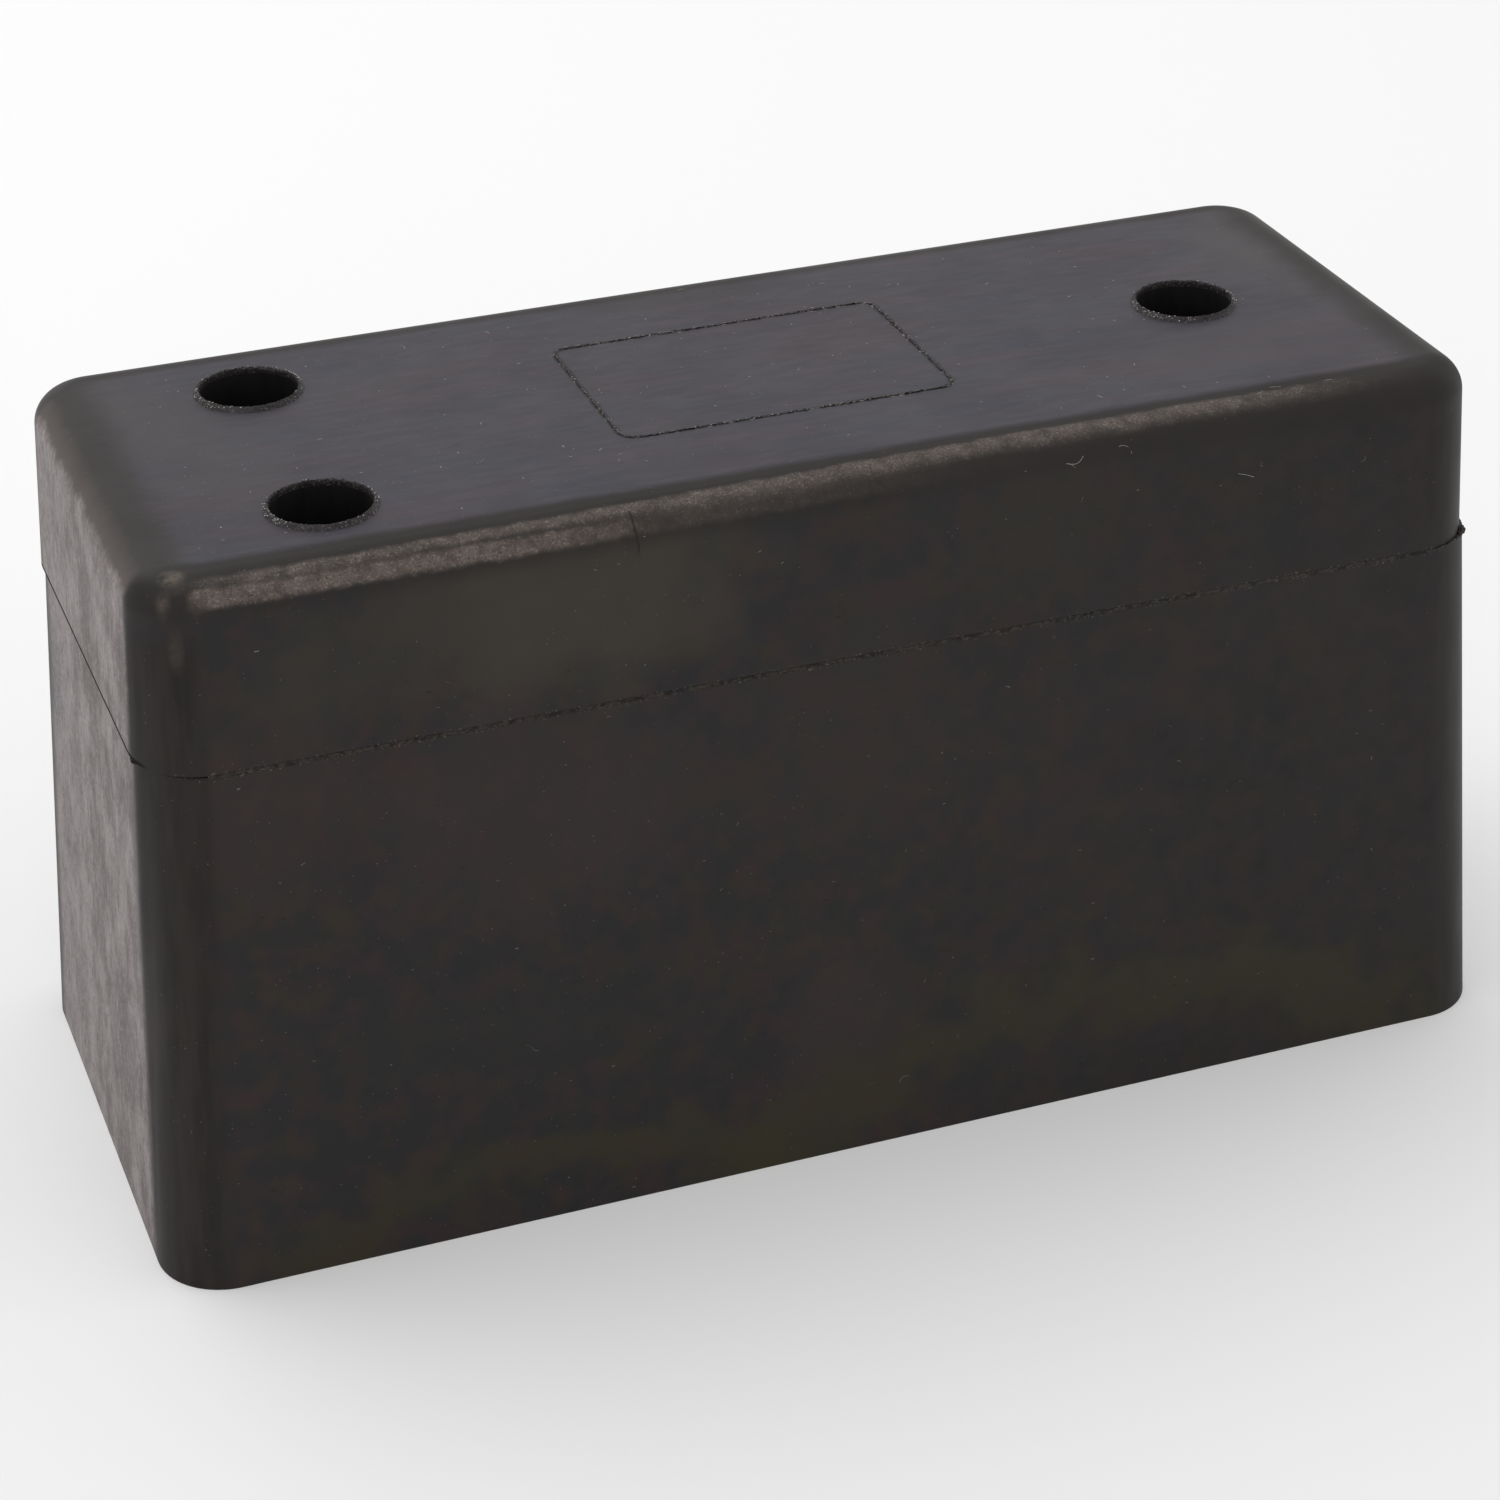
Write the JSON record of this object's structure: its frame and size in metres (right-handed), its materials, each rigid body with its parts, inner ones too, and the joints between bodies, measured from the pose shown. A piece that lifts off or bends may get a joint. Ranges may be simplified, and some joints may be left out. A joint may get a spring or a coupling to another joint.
{
  "type": "trailer buffer",
  "caption": "Oblong moulded rubber block with leaning sides, bolted through to a vehicle's rear frame to take the knock when it backs against a dock.",
  "frame": {"origin": "centre of the flat back face, which bolts to the vehicle", "axes": "+Z out of the back face to the contact face, X along the block with the pair of holes at the -X end, Y across it"},
  "size_m": [0.25, 0.1064, 0.1286],
  "materials": {
    "rubber": "matte"
  },
  "bodies": {
    "root": {"buffer_block": "rubber"}
  },
  "joints": []
}
